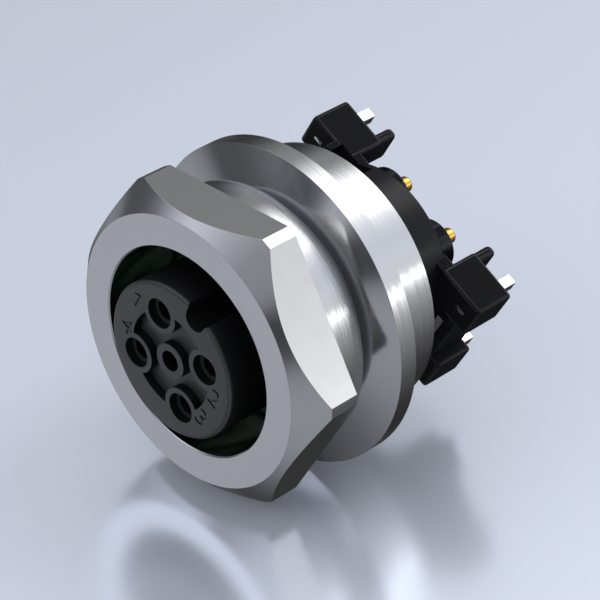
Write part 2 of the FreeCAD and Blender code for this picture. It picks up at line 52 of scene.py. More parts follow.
Levels = tuple[Span, ...]
Key = str | int
Material = bpy.types.Material
Mesh = bmesh.types.BMesh
Socket = bpy.types.NodeSocket
Tree = bpy.types.NodeTree
Settings = dict[Key, object]
Links = dict[Key, Socket]

LOG = logging.getLogger("m12_connector")
MM = 0.001
FULL_TURN = 2.0 * math.pi
KEY_CLOCKING = 30.0
# A point this near to a circle or a plane lies on it, in millimetres.
NEAR = 0.002
# Points this near to each other are one point, at the seam of a spin and after a join.
SEAM_MERGE = 0.00002
JOIN_MERGE = 0.0005

# The outer contacts and the corners, across and along the key direction.
SIDES = ((-1, 1), (1, 1), (1, -1), (-1, -1))
CORNERS = ("upper_left", "upper_right", "lower_right", "lower_left")
CONTACT_OFFSET = 2.5 / math.sqrt(2.0)
OUTER_CONTACTS = tuple((side * CONTACT_OFFSET, level * CONTACT_OFFSET) for side, level in SIDES)
CENTRE = (0.0, 0.0)


class Slot(Enum):
    """Material slots of the record."""

    NICKEL = "nickel_plated_brass"
    POLYAMIDE = "black_polyamide"
    GOLD = "gold_plated_contact"
    SEAL = "green_seal"
    TIN = "tinned_pin"


class Operation(Enum):
    """What a solid does to the one before it."""

    JOIN = "UNION"
    CUT = "DIFFERENCE"


# Colours and nodes

def linear(hex_colour: str) -> tuple[float, float, float, float]:
    """Turns an sRGB hex colour into Blender's linear colour.

    Args:
        hex_colour: the colour as "#RRGGBB".

    Returns:
        Red, green, blue and an alpha of 1, linear.
    """
    levels = [int(hex_colour[place:place + 2], 16) / 255.0 for place in (1, 3, 5)]
    curve = [v / 12.92 if v <= 0.04045 else ((v + 0.055) / 1.055) ** 2.4 for v in levels]
    return (curve[0], curve[1], curve[2], 1.0)


def add_node(
    tree: Tree,
    kind: str,
    settings: Optional[Settings] = None,
    links: Optional[Links] = None,
    output: Key = 0,
) -> Optional[Socket]:
    """Adds one node to a tree with its settings and its links.

    Args:
        tree: the node tree.
        kind: the node's type name, without its leading "ShaderNode".
        settings: a property's name, or an input's name or number, against its value.
        links: an input's name or number against the output socket that feeds it.
        output: name or number of the output that is wanted.

    Returns:
        That output of the new node, or None where the node has no output.
    """
    node = tree.nodes.new("ShaderNode" + kind)
    for key, value in (settings or {}).items():
        if isinstance(key, str) and hasattr(node, key):
            setattr(node, key, value)
        else:
            node.inputs[key].default_value = value
    for key, source in (links or {}).items():
        tree.links.new(source, node.inputs[key])
    return node.outputs[output] if node.outputs else None


def new_material(name: str) -> tuple[Material, Tree]:
    """Makes an empty node material.

    Args:
        name: the material's name.

    Returns:
        The material and its node tree.
    """
    material = bpy.data.materials.new(name)
    material.use_nodes = True
    material.node_tree.nodes.clear()
    return material, material.node_tree


def axis_directions(tree: Tree) -> tuple[Socket, Socket, Socket]:
    """Makes a point's place and its direction from the connector's axis.

    Args:
        tree: the material's node tree.

    Returns:
        The point's place, its offset from the axis, and that offset at length 1.
    """
    place = add_node(tree, "TexCoord", output="Object")
    flat = add_node(tree, "VectorMath", {"operation": "MULTIPLY", 1: (1.0, 0.0, 1.0)}, {0: place})
    outward = add_node(tree, "VectorMath", {"operation": "NORMALIZE"}, {0: flat})
    return place, flat, outward


def turned_coordinates(
    tree: Tree, spacing: float, length: float, radius: float
) -> tuple[Socket, Socket]:
    """Makes coordinates that run round the connector's axis, with no seam.

    Args:
        tree: the material's node tree.
        spacing: millimetres between two tool marks.
        length: millimetres that a tool mark runs round the axis.
        radius: millimetres from the axis at which that length holds.

    Returns:
        The pattern's vector, and the direction across the marks for anisotropic gloss.
    """
    place, flat, outward = axis_directions(tree)
    distance = add_node(tree, "VectorMath", {"operation": "LENGTH"}, {0: flat}, "Value")
    height = add_node(tree, "SeparateXYZ", links={0: place}, output="Y")
    across = add_node(tree, "Math", {"operation": "ADD"}, {0: height, 1: distance})
    marks = add_node(tree, "Math", {"operation": "DIVIDE", 1: spacing * MM}, {0: across})
    line = add_node(tree, "CombineXYZ", links={"Y": marks})
    around = add_node(
        tree, "VectorMath", {"operation": "SCALE", "Scale": radius / length}, {0: outward}
    )
    pattern = add_node(tree, "VectorMath", {"operation": "ADD"}, {0: around, 1: line})
    tangent = add_node(
        tree, "VectorMath", {"operation": "ADD", 1: (0.0, 1.0, 0.0)}, {0: outward}
    )
    return pattern, tangent


# Finishes

@dataclass(frozen=True, kw_only=True)
class Finish:
    """What the finishes share: each names its material and says how its surface is made."""

    name: str
    colour: str
    # Colour where the pattern is strongest, or None for one colour all over.
    second_colour: Optional[str] = None
    roughness: float
    roughness_spread: float = 0.05
    # Levels of the pattern at which the roughness is lowest and highest.
    pattern_span: Span = (0.3, 0.7)

    def surface(self, tree: Tree) -> tuple[Settings, Links]:
        """Makes the patterns and returns the shader's settings and its links."""
        raise NotImplementedError

    def patterned(
        self, tree: Tree, pattern: Socket, relief: Optional[Links] = None, depth: float = 0.0
    ) -> Links:
        """Makes what follows the patterns: the colour, the roughness and the fine relief.

        Args:
            tree: the material's node tree.
            pattern: level of the pattern that changes colour and roughness.
            relief: height of the relief and the normal below it, or None for a smooth surface.
            depth: depth of the relief in millimetres.

        Returns:
            The shader's links.
        """
        low, high = self.pattern_span
        links = {}
        links["Roughness"] = add_node(tree, "MapRange", {
            "From Min": low,
            "From Max": high,
            "To Min": self.roughness - self.roughness_spread,
            "To Max": self.roughness + self.roughness_spread,
        }, {"Value": pattern})
        if self.second_colour:
            links["Base Color"] = add_node(tree, "Mix", {
                "data_type": "RGBA",
                6: linear(self.colour),
                7: linear(self.second_colour),
            }, {0: pattern}, 2)
        if relief:
            links["Normal"] = add_node(
                tree, "Bump", {"Strength": 1.0, "Distance": depth * MM}, relief
            )
        return links

    def build(self) -> Material:
        """Makes the material and returns it."""
        material, tree = new_material(self.name)
        shader = add_node(tree, "BsdfPrincipled", *self.surface(tree))
        add_node(tree, "OutputMaterial", links={"Surface": shader})
        return material


@dataclass(frozen=True, kw_only=True)
class TurnedNickel(Finish):
    """Bright nickel on turned brass.

    The lathe tool leaves fine rings round the axis, which the thin nickel keeps, so that light
    is drawn out across the rings and its edges break up into streaks.
    """

    name: str = "nickel_on_turned_brass"
    colour: str = "#CDCDCD"
    roughness: float = 0.18
    roughness_spread: float = 0.1
    # As on the real part, the marks are about 0.05 mm apart.
    mark_spacing: float = 0.055
    mark_length: float = 6.0
    mark_radius: float = 8.0
    mark_depth: float = 0.004
    # How far the marks lean round the axis, as a share of the noise.
    wobble: float = 0.12
    anisotropy: float = 0.6

    def surface(self, tree: Tree) -> tuple[Settings, Links]:
        """Makes the tool marks and returns the shader's settings and its links."""
        pattern, tangent = turned_coordinates(
            tree, self.mark_spacing, self.mark_length, self.mark_radius
        )
        marks = add_node(tree, "TexNoise", {
            "Scale": 1.0,
            "Detail": 3.0,
            "Roughness": 0.6,
        }, {"Vector": pattern}, "Fac")
        links = self.patterned(tree, marks, {"Height": marks}, self.mark_depth)
        around = add_node(
            tree, "VectorMath", {"operation": "CROSS_PRODUCT", 1: (0.0, 1.0, 0.0)}, {0: tangent}
        )
        lean = add_node(tree, "Math", {
            "operation": "MULTIPLY_ADD",
            1: self.wobble,
            2: -0.5 * self.wobble,
        }, {0: marks})
        links["Normal"] = add_node(tree, "VectorMath", {"operation": "MULTIPLY_ADD"}, {
            0: around,
            1: lean,
            2: links["Normal"],
        })
        links["Tangent"] = tangent
        settings = {
            "Base Color": linear(self.colour),
            "Metallic": 1.0,
            "Anisotropic": self.anisotropy,
        }
        return settings, links


@dataclass(frozen=True, kw_only=True)
class SatinNickel(Finish):
    """Nickel on milled and faced brass, blasted to a fine satin before plating."""

    name: str = "nickel_on_satin_brass"
    colour: str = "#CDCDCD"
    roughness: float = 0.17
    roughness_spread: float = 0.02
    # Blasting pits of about 0.05 mm, drawn as broad soft clouds of 0.8 mm and grain of 0.2 mm.
    cloud_size: float = 0.8
    grain_size: float = 0.2
    grain_depth: float = 0.00012
    # Degrees that the shading of a face square to the axis leans outward, towards its rim.
    lean: float = 0.0

    def leaning_normal(self, tree: Tree) -> Socket:
        """Makes the normal of a forward face that leans outward from the axis.

        Args:
            tree: the material's node tree.

        Returns:
            The normal.
        """
        turn = math.radians(self.lean)
        outward = axis_directions(tree)[2]
        return add_node(tree, "VectorMath", {
            "operation": "MULTIPLY_ADD",
            1: (math.sin(turn), 0.0, math.sin(turn)),
            2: (0.0, -math.cos(turn), 0.0),
        }, {0: outward})

    def surface(self, tree: Tree) -> tuple[Settings, Links]:
        """Makes the clouds and the grain and returns the shader's settings and its links."""
        place = add_node(tree, "TexCoord", output="Object")
        clouds, grain = [
            add_node(tree, "TexNoise", {
                "Scale": 1.0 / (size * MM),
                "Detail": detail,
            }, {"Vector": place}, "Fac")
            for size, detail in ((self.cloud_size, 3.0), (self.grain_size, 2.0))
        ]
        relief = {"Height": grain}
        if self.lean:
            relief["Normal"] = self.leaning_normal(tree)
        links = self.patterned(tree, clouds, relief, self.grain_depth)
        return {"Base Color": linear(self.colour), "Metallic": 1.0}, links


@dataclass(frozen=True, kw_only=True)
class MouldedPlastic(Finish):
    """Black glass-filled polyamide as it leaves the mould: near black, with a fine satin grain."""

    specular: float
    # Spark-eroded mould texture, about 0.06 mm from grain to grain.
    grain_size: float = 0.07
    grain_depth: float = 0.0012
    cloud_size: float = 1.6

    def surface(self, tree: Tree) -> tuple[Settings, Links]:
        """Makes the clouds and the grain and returns the shader's settings and its links."""
        place = add_node(tree, "TexCoord", output="Object")
        clouds, grain = [
            add_node(tree, "TexNoise", {
                "Scale": 1.0 / (size * MM),
                "Detail": detail,
                "Roughness": roughness,
            }, {"Vector": place}, "Fac")
            for size, detail, roughness in (
                (self.cloud_size, 4.0, 0.6),
                (self.grain_size, 2.0, 0.5),
            )
        ]
        links = self.patterned(tree, clouds, {"Height": grain}, self.grain_depth)
        return {"Specular IOR Level": self.specular, "IOR": 1.5}, links


@dataclass(frozen=True, kw_only=True)
class BrightMetal(Finish):
    """A plated or machined metal with fine turning marks round the connector's axis."""

    pattern_span: Span = (0.0, 1.0)
    mark_spacing: float = 0.06
    mark_depth: float = 0.0006

    def surface(self, tree: Tree) -> tuple[Settings, Links]:
        """Makes the marks and returns the shader's settings and its links."""
        place = add_node(tree, "TexCoord", output="Object")
        height = add_node(tree, "SeparateXYZ", links={0: place}, output="Y")
        lines = add_node(
            tree, "Math", {"operation": "DIVIDE", 1: self.mark_spacing * MM}, {0: height}
        )
        marks = add_node(tree, "TexNoise", {
            "noise_dimensions": "1D",
            "Scale": 1.0,
            "Detail": 2.0,
        }, {"W": lines}, "Fac")
        links = self.patterned(tree, marks, {"Height": marks}, self.mark_depth)
        return {"Metallic": 1.0}, links


@dataclass(frozen=True, kw_only=True)
class SealRubber(Finish):
    """Green silicone rubber, moulded smooth, with a faint bloom that lightens it in patches."""

    name: str = "green_silicone_rubber"
    colour: str = "#173B16"
    second_colour: Optional[str] = "#21491F"
    roughness: float = 0.35
    roughness_spread: float = 0.08
    pattern_span: Span = (0.0, 1.0)
    patch_size: float = 1.2

    def surface(self, tree: Tree) -> tuple[Settings, Links]:
        """Makes the patches and returns the shader's settings and its links."""
        place = add_node(tree, "TexCoord", output="Object")
        patches = add_node(tree, "TexNoise", {
            "Scale": 1.0 / (self.patch_size * MM),
            "Detail": 4.0,
        }, {"Vector": place}, "Fac")
        return {"Specular IOR Level": 0.4}, self.patterned(tree, patches)


# The hexagon, the flat ring and the rear: milled, blasted and plated, an even soft sheen.
HEAD_NICKEL = SatinNickel()
# The neck, the flange's rim and the spigot: plated straight off the lathe, bright and streaked.
LATHE_NICKEL = TurnedNickel()
# The flange's front, faced with the tool feeding outward: its fine arcs show light from its rim.
FLANGE_NICKEL = SatinNickel(name="nickel_on_faced_brass", roughness=0.13, lean=30.0)
# The relief groove and the neck's rounded end: a darker, duller copy of the nickel, whose darker
# colour is painted shade beside the neck.
GROOVE_NICKEL_PAINTED_SHADE = SatinNickel(name="nickel_with_painted_groove_shade", colour="#B4B6BA", roughness=0.58)
# The insert's face, moulded against a blasted mould: a dark grey satin.
INSERT_PLASTIC = MouldedPlastic(
    name="moulded_polyamide_insert",
    colour="#222223",
    second_colour="#282829",
    roughness=0.45,
    specular=1.0,
)
# The insert's walls and everything deeper than the recess floor: a near-black, less shiny copy of
# the same plastic, which is painted shade of the bore, entries and keyway.
WALL_PLASTIC_PAINTED_SHADE = MouldedPlastic(
    name="polyamide_walls_painted_shade",
    colour="#08080A",
    second_colour="#0C0C0E",
    roughness=0.5,
    specular=0.35,
)
# The carrier's flat faces, from a coarser mould: black and matt.
CARRIER_PLASTIC = MouldedPlastic(
    name="moulded_polyamide_carrier",
    colour="#18181A",
    second_colour="#1D1D1F",
    roughness=0.6,
    specular=0.03,
)
# The carrier's drum and rounded edges, which the mould leaves smoother: they catch a fine light.
EDGE_PLASTIC = MouldedPlastic(
    name="moulded_polyamide_edges",
    colour="#121214",
    second_colour="#171719",
    roughness=0.24,
    specular=0.18,
)
# Gold plated over turned brass contacts: warm, bright and faintly ringed.
CONTACT_GOLD = BrightMetal(
    name="gold_plate_on_turned_brass", colour="#F0C56A", second_colour="#E2B24E", roughness=0.2
)
# Tin plated over drawn bronze pins: nearly white, a little soft.
PIN_TIN = BrightMetal(
    name="bright_tin_plate", colour="#E6E6EA", second_colour="#DADAE0", roughness=0.25
)
# The lock ring, machined brass left bare: yellow, with fine rings from the lathe.
BARE_BRASS = BrightMetal(
    name="machined_brass", colour="#D9B46E", second_colour="#C9A258", roughness=0.3
)
# The seal between insert and bore.
SEAL_RUBBER = SealRubber()


# Mesh helpers

def spin_profile(profile: Iterable[Span], steps: int) -> Mesh:
    """Spins a closed profile once round the connector's axis.

    Args:
        profile: radius and height along the axis of each corner, in millimetres.
        steps: number of steps in the full turn.

    Returns:
        The ring.
    """
    bm = bmesh.new()
    corners = [bm.verts.new((radius * MM, y * MM, 0.0)) for radius, y in profile]
    edges = [bm.edges.new((a, b)) for a, b in zip(corners, corners[1:] + corners[:1])]
    bmesh.ops.spin(
        bm,
        geom=corners + edges,
        cent=(0.0, 0.0, 0.0),
        axis=(0.0, 1.0, 0.0),
        dvec=(0.0, 0.0, 0.0),
        angle=FULL_TURN,
        steps=steps,
        use_merge=True,
        use_duplicate=False,
    )
    bmesh.ops.remove_doubles(bm, verts=bm.verts[:], dist=SEAM_MERGE * MM)
    bmesh.ops.recalc_face_normals(bm, faces=bm.faces[:])
    return bm


def bevel_edges(
    bm: Mesh, edges: list[bmesh.types.BMEdge], width: float, segments: int
) -> None:
    """Rounds edges of a mesh.

    Args:
        bm: the mesh.
        edges: the edges to round.
        width: the bevel's width in millimetres.
        segments: number of faces across it.
    """
    bmesh.ops.bevel(
        bm,
        geom=edges,
        offset=width * MM,
        offset_type="OFFSET",
        affect="EDGES",
        segments=segments,
        profile=0.5,
        material=-1,
    )


def round_ring(bm: Mesh, radius: float, y: float, width: float, segments: int) -> None:
    """Rounds one circle of edges round the axis.

    Args:
        bm: the mesh.
        radius: the circle's radius in millimetres.
        y: its height along the axis.
        width: width of the rounding.
        segments: number of faces across it.
    """

    def on_circle(vert: bmesh.types.BMVert) -> bool:
        """Tells whether a vertex lies on the circle."""
        away = abs(math.hypot(vert.co.x, vert.co.z) - radius * MM)
        return away < NEAR * MM and abs(vert.co.y - y * MM) < NEAR * MM

    ring = [edge for edge in bm.edges if all(on_circle(vert) for vert in edge.verts)]
    bevel_edges(bm, ring, width, segments)


def block(
    across: Span, along: Span, depth: Span, rounding: float = 0.0, segments: int = 3
) -> Mesh:
    """Makes a box.

    Args:
        across: its two ends across the key direction, in millimetres.
        along: its two ends along the key direction.
        depth: its front and rear along the connector's axis.
        rounding: width of the rounding of all its edges, or 0 for sharp edges.
        segments: number of faces across the rounding.

    Returns:
        The box.
    """
    sides = (across, depth, along)
    bm = bmesh.new()
    bmesh.ops.create_cube(bm, size=1.0)
    size = Vector([(high - low) * MM for low, high in sides])
    centre = Vector([(low + high) / 2.0 * MM for low, high in sides])
    bmesh.ops.scale(bm, vec=size, verts=bm.verts[:])
    bmesh.ops.translate(bm, vec=centre, verts=bm.verts[:])
    if rounding:
        bevel_edges(bm, bm.edges[:], rounding, segments)
    return bm


def post(
    place: Span, radius: float, depth: Span, rounding: float = 0.0, steps: int = 64
) -> Mesh:
    """Makes a round post along the connector's axis.

    Args:
        place: its centre across and along the key direction, in millimetres.
        radius: its radius.
        depth: its front and rear along the axis.
        rounding: width of the rounding of its rear edge, or 0 for a sharp edge.
        steps: number of steps round it.

    Returns:
        The post.
    """
    front, rear = depth
    bm = bmesh.new()
    bmesh.ops.create_cone(
        bm,
        cap_ends=True,
        segments=steps,
        radius1=radius * MM,
        radius2=radius * MM,
        depth=(rear - front) * MM,
    )
    to_axis = Matrix.Rotation(math.radians(-90.0), 3, "X")
    centre = Vector((place[0], (front + rear) / 2.0, place[1])) * MM
    bmesh.ops.rotate(bm, verts=bm.verts[:], matrix=to_axis)
    bmesh.ops.translate(bm, verts=bm.verts[:], vec=centre)
    if rounding:
        at_rear = {vert for vert in bm.verts if abs(vert.co.y - rear * MM) < NEAR * MM}
        rim = [edge for edge in bm.edges if at_rear.issuperset(edge.verts)]
        bevel_edges(bm, rim, rounding, 3)
    return bm


def arc(centre: Span, radius: float, start: float, end: float, steps: int) -> list[Span]:
    """Makes the points of an arc.

    Args:
        centre: its centre.
        radius: its radius.
        start: angle of its first point in radians.
        end: angle of its last point.
        steps: number of steps along it.

    Returns:
        The points, with both ends.
    """
    turns = [start + (end - start) * step / steps for step in range(steps + 1)]
    x, y = centre
    return [(x + radius * math.cos(turn), y + radius * math.sin(turn)) for turn in turns]


def mesh_object(name: str, bm: Mesh) -> bpy.types.Object:
    """Puts a mesh into the scene as an object.

    Args:
        name: name of the object and of its mesh.
        bm: the mesh, which is freed here.

    Returns:
        The object.
    """
    mesh = bpy.data.meshes.new(name)
    bm.to_mesh(mesh)
    bm.free()
    made = bpy.data.objects.new(name, mesh)
    bpy.context.scene.collection.objects.link(made)
    return made


def final_form(holder: bpy.types.Object) -> Mesh:
    """Reads an object's form with its modifiers or its text worked out.

    Args:
        holder: the object.

    Returns:
        Its mesh.
    """
    bpy.context.view_layer.update()
    graph = bpy.context.evaluated_depsgraph_get()
    mesh = bpy.data.meshes.new_from_object(holder.evaluated_get(graph))
    bm = bmesh.new()
    bm.from_mesh(mesh)
    bpy.data.meshes.remove(mesh)
    return bm


def combine(base: Mesh, operation: Operation, others: Iterable[Mesh]) -> Mesh:
    """Joins other solids to a solid, or cuts them from it, one after another.

    Args:
        base: the solid to change, which is freed here.
        operation: whether the others are joined or cut.
        others: the other solids, which are freed here.

    Returns:
        The new solid.
    """
    holders = []
    for bm in [base, *others]:
        bmesh.ops.recalc_face_normals(bm, faces=bm.faces[:])
        holders.append(mesh_object("work_solid", bm))
    for other in holders[1:]:
        step = holders[0].modifiers.new("combine", "BOOLEAN")
        step.operation = operation.value
        step.solver = "EXACT"
        step.object = other
    result = final_form(holders[0])
    for holder in holders:
        mesh = holder.data
        bpy.data.objects.remove(holder)
        bpy.data.meshes.remove(mesh)
    bmesh.ops.remove_doubles(result, verts=result.verts[:], dist=JOIN_MERGE * MM)
    return result


def turn_to_key(bm: Mesh) -> None:
    """Turns a mesh about the connector's axis, from Z to the keyway's direction.

    Args:
        bm: the mesh.
    """
    turn = Matrix.Rotation(math.radians(KEY_CLOCKING), 3, "Y")
    bmesh.ops.rotate(bm, verts=bm.verts[:], matrix=turn)


def make_piece(
    name: str,
    bm: Mesh,
    materials: list[Material],
    node: str,
    angle: float = 20.0,
    edge_break: float = 0.0,
    weighted: bool = False,
) -> None:
    """Turns a finished mesh into a piece of the connector.

    Args:
        name: the piece's name.
        bm: its mesh, which is freed here.
        materials: its materials, in the order of the faces' material numbers.
        node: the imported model's node that it stands for.
        angle: edges sharper than this many degrees are shaded, or rounded, as edges.
        edge_break: width of the rounding of those edges in millimetres, or 0 for none.
        weighted: true where large flat faces keep their shading beside small round ones.
    """
    for face in bm.faces:
        face.smooth = True
    for edge in bm.edges:
        sharp = len(edge.link_faces) == 2 and edge.calc_face_angle(0.0) > math.radians(angle)
        edge.smooth = not sharp
    piece = mesh_object(name, bm)
    for material in materials:
        piece.data.materials.append(material)
    if edge_break:
        rounding = piece.modifiers.new("edge_rounding", "BEVEL")
        rounding.width = edge_break * MM
        rounding.segments = 2
        rounding.limit_method = "ANGLE"
        rounding.angle_limit = math.radians(angle)
        rounding.harden_normals = True
        rounding.use_clamp_overlap = True
        for edge in piece.data.edges:
            edge.use_edge_sharp = False
    if weighted:
        shading = piece.modifiers.new("flat_face_shading", "WEIGHTED_NORMAL")
        shading.weight = 100
        shading.keep_sharp = True
    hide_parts(node)
    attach(piece, "root")
    LOG.info("made %s", name)


def dress_node(name: str, material: Material) -> None:
    """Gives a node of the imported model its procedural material.

    Args:
        name: the node's name.
        material: the material.
    """
    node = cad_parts[name]
    node.data.materials.clear()
    node.data.materials.append(material)
    LOG.info("dressed %s with %s", name, material.name)


# Pieces of the connector

class HousingFinish(IntEnum):
    """Material numbers of the housing's faces."""

    HEAD = 0
    LATHE = 1
    FLANGE = 2
    GROOVE = 3


@dataclass
class Housing:
    """Metal housing: hexagon, neck, relief groove, flange and spigot in one piece."""

    bore_radius: float = 5.49
    bore_lead: float = 0.07
    ring_face_radius: float = 7.18
    corner_radius: float = 8.53
    across_flats: float = 15.06
    front: float = -7.05
    bevel_end: float = -5.73
    hexagon_end: float = -4.05
    neck_radius: float = 7.015
    neck_end: float = -1.7
    neck_round: float = 0.6
    relief_radius: float = 5.95
    flange_front: float = -1.05
    flange_radius: float = 8.545
    spigot_radius: float = 7.06
    spigot_end: float = 2.9
    rear_bore_radius: float = 5.95
    rear_bore_start: float = -0.85
    edge_break: float = 0.012
    steps: int = 288

    def profile(self) -> list[Span]:
        """Returns the corners of the turned profile as radius and height along the axis."""
        return [
            (self.bore_radius + self.bore_lead, self.front),
            (self.ring_face_radius, self.front),
            (self.corner_radius, self.bevel_end),
            (self.corner_radius, self.hexagon_end),
            (self.neck_radius, self.hexagon_end),
            (self.neck_radius, self.neck_end),
            (self.relief_radius, self.neck_end),
            (self.relief_radius, self.flange_front),
            (self.flange_radius, self.flange_front),
            (self.flange_radius, 0.0),
            (self.spigot_radius, 0.0),
            (self.spigot_radius, self.spigot_end),
            (self.rear_bore_radius, self.spigot_end),
            (self.rear_bore_radius, self.rear_bore_start),
            (self.bore_radius, self.rear_bore_start),
            (self.bore_radius, self.front + self.bore_lead),
        ]

    def cut_flat(self, bm: Mesh, degrees: float) -> None:
        """Mills one flat of the hexagon.

        Args:
            bm: the housing's mesh.
            degrees: direction of the flat from +X towards +Z.
        """
        turn = math.radians(degrees)
        outward = Vector((math.cos(turn), 0.0, math.sin(turn)))
        limit = (self.hexagon_end + NEAR) * MM
        head = [face for face in bm.faces if face.calc_center_median().y < limit]
        parts = set(head)
        for face in head:
            parts.update(face.edges)
            parts.update(face.verts)
        cut = bmesh.ops.bisect_plane(
            bm,
            geom=list(parts),
            dist=SEAM_MERGE * MM,
            plane_co=outward * (self.across_flats / 2.0 * MM),
            plane_no=outward,
            clear_outer=True,
        )
        rim = [part for part in cut["geom_cut"] if isinstance(part, bmesh.types.BMEdge)]
        bmesh.ops.contextual_create(bm, geom=rim)

    def finish_of(self, face: bmesh.types.BMFace) -> HousingFinish:
        """Chooses the finish of a face.

        Args:
            face: a face of the housing.

        Returns:
            Its finish.
        """
        centre = face.calc_center_median() / MM
        if abs(centre.y - self.flange_front) < NEAR:
            return HousingFinish.FLANGE
        # The groove and the neck's rounded end take the darker nickel, which is painted shade of
        # the groove.
        if self.neck_end - self.neck_round < centre.y < self.flange_front:
            return HousingFinish.GROOVE
        upright = abs(face.normal.y) < 0.2
        outside = math.hypot(centre.x, centre.z) > self.rear_bore_radius + NEAR
        if upright and outside and centre.y > self.hexagon_end:
            return HousingFinish.LATHE
        return HousingFinish.HEAD

    def build(self, finishes: dict[HousingFinish, Finish]) -> None:
        """Makes the housing.

        Args:
            finishes: what each of its finishes looks like.
        """
        bm = spin_profile(self.profile(), self.steps)
        round_ring(bm, self.neck_radius, self.neck_end, self.neck_round, 8)
        for side in range(6):
            self.cut_flat(bm, 30.0 + 60.0 * side)
        bmesh.ops.recalc_face_normals(bm, faces=bm.faces[:])
        for face in bm.faces:
            face.material_index = self.finish_of(face)
        materials = [finishes[number].build() for number in HousingFinish]
        make_piece(
            "housing_body", bm, materials, "housing", edge_break=self.edge_break
        )


@dataclass
class Insert:
    """Moulded front insert: stem with a keyway, recessed face, collars and five entries."""

    radius: float = 4.15
    front: float = -8.05
    face_round: float = 0.22
    shoulder: float = -1.55
    pilot_radius: float = 5.43
    collar_start: float = -0.85
    collar_radius: float = 5.89
    back: float = 0.55
    recess_radius: float = 2.62
    recess_depth: float = 0.46
    boss_radius: float = 1.08
    centre_boss_radius: float = 0.93
    # Front and rear of the solids that leave the collars standing in the recess.
    boss_reach: Span = (-9.5, 0.0)
    mouth_radius: float = 0.79
    entry_radius: float = 0.55
    entry_depth: float = 1.9
    room_radius: float = 0.89
    keyway_centre: float = 3.67
    keyway_radius: float = 0.62
    keyway_straight: float = 0.08
    keyway_flare: float = 0.42
    keyway_length: float = 4.9
    # How far a cutting solid stands out past the face that it cuts.
    clear: float = 1.0
    steps: int = 192

    digit_height: float = 0.88
    # Height of the built-in font's figures over its size.
    letter_share: float = 0.58
    digit_depth: float = 0.06
    stroke: float = 0.1
    # Number and its centre across and along the key direction.
    digits: tuple[tuple[str, float, float], ...] = (
        ("2", 2.96, 0.88),
        ("3", 2.94, -0.93),
        ("4", -2.91, -0.96),
    )
    # The figure 1: its stem, and its flag with its root, its length and its slope.
    stem_across: float = -3.09
    stem_along: Span = (0.63, 1.52)
    flag_root: Span = (-3.08, 1.48)
    flag_length: float = 0.4
    flag_slope: float = -212.0

    def stem(self) -> Mesh:
        """Returns the turned form of the insert, with its rounded face edge."""
        profile = [
            (0.0, self.front),
            (self.radius, self.front),
            (self.radius, self.shoulder),
            (self.pilot_radius, self.shoulder),
            (self.pilot_radius, self.collar_start),
            (self.collar_radius, self.collar_start),
            (self.collar_radius, self.back),
            (0.0, self.back),
        ]
        bm = spin_profile(profile, self.steps)
        round_ring(bm, self.radius, self.front, self.face_round, 6)
        return bm

    def recess(self) -> Mesh:
        """Returns the room of the recess round the collars."""
        room = (self.front - self.clear, self.front + self.recess_depth)
        collars = [post(CENTRE, self.centre_boss_radius, self.boss_reach)]
        collars += [post(place, self.boss_radius, self.boss_reach) for place in OUTER_CONTACTS]
        return combine(
            post(CENTRE, self.recess_radius, room, steps=128), Operation.CUT, collars
        )

    def keyway(self) -> Mesh:
        """Returns the room of the keyway, with its round bottom and its flared mouth."""
        half = self.keyway_radius
        flare = self.keyway_flare
        wide = half + flare
        mouth = self.keyway_centre + self.keyway_straight
        top = self.radius + self.clear
        quarter = FULL_TURN / 4.0
        outline = arc((0.0, self.keyway_centre), half, 2.0 * quarter, FULL_TURN, 16)
        outline += arc((wide, mouth), flare, 2.0 * quarter, quarter, 8)
        outline += [(wide, top), (-wide, top)]
        outline += arc((-wide, mouth), flare, quarter, 0.0, 8)
        bm = bmesh.new()
        start = (self.front - self.clear) * MM
        face = bm.faces.new([bm.verts.new((x * MM, start, z * MM)) for x, z in outline])
        made = bmesh.ops.extrude_face_region(bm, geom=[face])
        moved = [part for part in made["geom"] if isinstance(part, bmesh.types.BMVert)]
        reach = (self.keyway_length + self.clear) * MM
        bmesh.ops.translate(bm, verts=moved, vec=(0.0, reach, 0.0))
        return bm

    def digit(self, number: str, across: float, along: float) -> Mesh:
        """Makes the tool that engraves one contact's number.

        Args:
            number: the number.
            across: its centre across the key direction.
            along: its centre along the key direction.

        Returns:
            The tool.
        """
        curve = bpy.data.curves.new("digit", "FONT")
        curve.body = number
        curve.align_x = "CENTER"
        curve.align_y = "CENTER"
        curve.size = self.digit_height / self.letter_share
        curve.extrude = self.digit_depth
        holder = bpy.data.objects.new("digit", curve)
        bpy.context.scene.collection.objects.link(holder)
        bm = final_form(holder)
        bpy.data.objects.remove(holder)
        bpy.data.curves.remove(curve)
        # The figure is still in millimetres here.
        bmesh.ops.remove_doubles(bm, verts=bm.verts[:], dist=0.001)
        bmesh.ops.scale(bm, vec=(MM, MM, MM), verts=bm.verts[:])
        bmesh.ops.rotate(bm, verts=bm.verts[:], matrix=Matrix.Rotation(math.pi / 2.0, 3, "X"))
        bmesh.ops.translate(
            bm, verts=bm.verts[:], vec=Vector((across, self.front, along)) * MM
        )
        return bm

    def figure_one(self) -> Mesh:
        """Returns the tool that engraves contact 1's number: a stem and a long flag."""
        half = self.stroke / 2.0
        depth = (self.front - self.clear, self.front + self.digit_depth)
        across = (self.stem_across - half, self.stem_across + half)
        stem = block(across, self.stem_along, depth)
        flag = block((0.0, self.flag_length), (-half, half), depth)
        slope = Matrix.Rotation(math.radians(self.flag_slope), 3, "Y")
        root = Vector((self.flag_root[0], 0.0, self.flag_root[1])) * MM
        bmesh.ops.rotate(flag, verts=flag.verts[:], matrix=slope)
        bmesh.ops.translate(flag, verts=flag.verts[:], vec=root)
        return combine(stem, Operation.JOIN, [flag])

